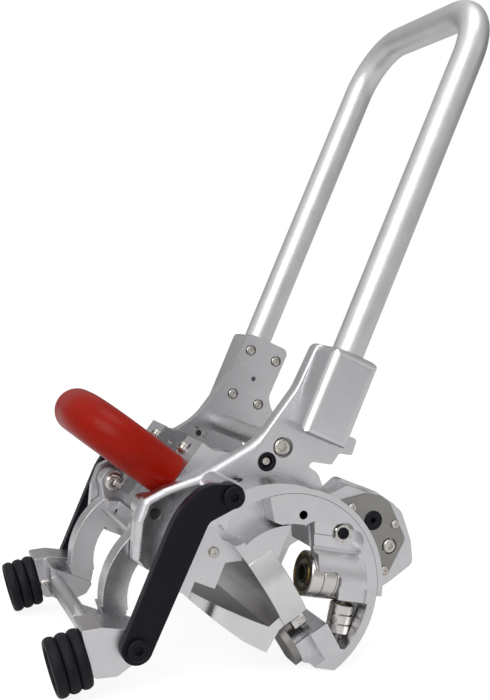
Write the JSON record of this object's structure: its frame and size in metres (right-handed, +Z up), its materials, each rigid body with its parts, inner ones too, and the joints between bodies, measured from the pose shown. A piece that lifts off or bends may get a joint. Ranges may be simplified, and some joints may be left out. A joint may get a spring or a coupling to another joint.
{
  "type": "zip line trolley",
  "caption": "Aluminium cable trolley with a tall U handle, a red clip-in bar, twin drums with a turning V gate, guide rollers and sprung-out rubber buffers.",
  "frame": {"origin": "on the axis of the cable, midway between the two side frames", "axes": "+Y along the cable, away from the viewer of the picture; +Z up as the trolley stands on its buffers and jaw tips; +X away from the buffers"},
  "size_m": [0.3691, 0.2626, 0.5302],
  "materials": {
    "alloy": "bead-blasted and clear anodised, silver",
    "stainless": "bright stainless fasteners",
    "dark_steel": "dark ground steel",
    "bearing_steel": "ground and polished",
    "cover_steel": "brushed stainless sheet",
    "black_steel": "satin black",
    "red_gloss": "gloss red powder coat",
    "rubber": "black moulded rubber"
  },
  "bodies": {
    "root": {"u_handle": "alloy", "socket_front": "alloy", "socket_rear": "alloy", "socket_screws": "stainless", "side_plate_front": "alloy", "side_plate_rear": "alloy", "upper_tie_rod": "alloy", "tie_rod_screws": "stainless", "lower_tie_rod": "alloy", "lower_rod_screws": "stainless", "frame_grommets": "rubber", "grommet_screws": "stainless", "cover_body_front": "alloy", "cover_body_rear": "alloy", "cover_plate_front": "cover_steel", "cover_plate_rear": "cover_steel", "cover_screws": "stainless", "cover_bushes": "black_steel", "fixed_block_front": "alloy", "fixed_block_rear": "alloy", "block_studs": "black_steel", "block_nuts": "stainless", "running_axles": "black_steel", "side_roller_pins": "dark_steel", "jaw_cheeks": "dark_steel", "jaw_pins": "dark_steel", "bar_bracket_front": "alloy", "bar_bracket_rear": "alloy", "red_bar": "red_gloss", "bracket_screws": "stainless", "arm_pivot_screws": "stainless"},
    "swing_arms": {"arm_front": "alloy", "arm_rear": "alloy", "arm_yoke": "alloy", "yoke_screws": "stainless", "carrier_front": "alloy", "carrier_rear": "alloy", "carrier_bar": "alloy", "carrier_screws": "stainless", "carrier_pins": "black_steel", "buffer_front": "rubber", "buffer_rear": "rubber", "buffer_screws": "dark_steel"},
    "gate": {"gate_rotor_front": "alloy", "gate_rotor_rear": "alloy", "upper_guide_fin": "alloy", "lower_guide_fin": "alloy", "fin_screws": "stainless", "rotor_pins": "black_steel"},
    "front_link": {"link_front": "black_steel"},
    "rear_link": {"link_rear": "black_steel"},
    "front_running_rollers": {"running_rollers_front": "bearing_steel"},
    "rear_running_rollers": {"running_rollers_rear": "bearing_steel"},
    "front_side_rollers": {"side_rollers_front": "bearing_steel"},
    "rear_side_rollers": {"side_rollers_rear": "bearing_steel"},
    "front_jaw_roller": {"jaw_roller_front": "bearing_steel"},
    "rear_jaw_roller": {"jaw_roller_rear": "bearing_steel"}
  },
  "joints": [
    {"name": "arm_swing", "type": "hinge", "parent": "root", "child": "swing_arms", "pos_m": [-0.1207, 0, 0.07637], "axis": [0, -1, 0], "range_deg": [0, 16]},
    {"name": "gate_turn", "type": "hinge", "parent": "root", "child": "gate", "pos_m": [-0.02838, 0, 0.0178], "axis": [0, -1, 0], "range_deg": [-6.6, 0]},
    {"name": "front_link_swing", "type": "hinge", "parent": "swing_arms", "child": "front_link", "pos_m": [-0.14562, -0.123, -0.00874], "axis": [0, -1, 0], "range_deg": [-7.9, 0]},
    {"name": "rear_link_swing", "type": "hinge", "parent": "swing_arms", "child": "rear_link", "pos_m": [-0.14562, 0.123, -0.00874], "axis": [0, -1, 0], "range_deg": [-7.9, 0]},
    {"name": "front_running_spin", "type": "hinge", "parent": "root", "child": "front_running_rollers", "pos_m": [0.00885, -0.097, 0.02254], "axis": [0.9801, 0, -0.1985], "continuous": true},
    {"name": "front_side_spin", "type": "hinge", "parent": "root", "child": "front_side_rollers", "pos_m": [0.02328, -0.1, -0.01137], "axis": [0.1985, 0, 0.9801], "continuous": true},
    {"name": "front_jaw_spin", "type": "hinge", "parent": "root", "child": "front_jaw_roller", "pos_m": [-0.01971, -0.1, -0.01339], "axis": [0.8576, 0, 0.5143], "continuous": true},
    {"name": "rear_running_spin", "type": "hinge", "parent": "root", "child": "rear_running_rollers", "pos_m": [0.00885, 0.097, 0.02254], "axis": [0.9801, 0, -0.1985], "continuous": true},
    {"name": "rear_side_spin", "type": "hinge", "parent": "root", "child": "rear_side_rollers", "pos_m": [0.02328, 0.1, -0.01137], "axis": [0.1985, 0, 0.9801], "continuous": true},
    {"name": "rear_jaw_spin", "type": "hinge", "parent": "root", "child": "rear_jaw_roller", "pos_m": [-0.01971, 0.1, -0.01339], "axis": [0.8576, 0, 0.5143], "continuous": true}
  ],
  "couplings": [
    {"joint": "gate_turn", "follows": "arm_swing", "ratio": -0.408},
    {"joint": "front_link_swing", "follows": "arm_swing", "ratio": -0.489},
    {"joint": "rear_link_swing", "follows": "arm_swing", "ratio": -0.489}
  ]
}
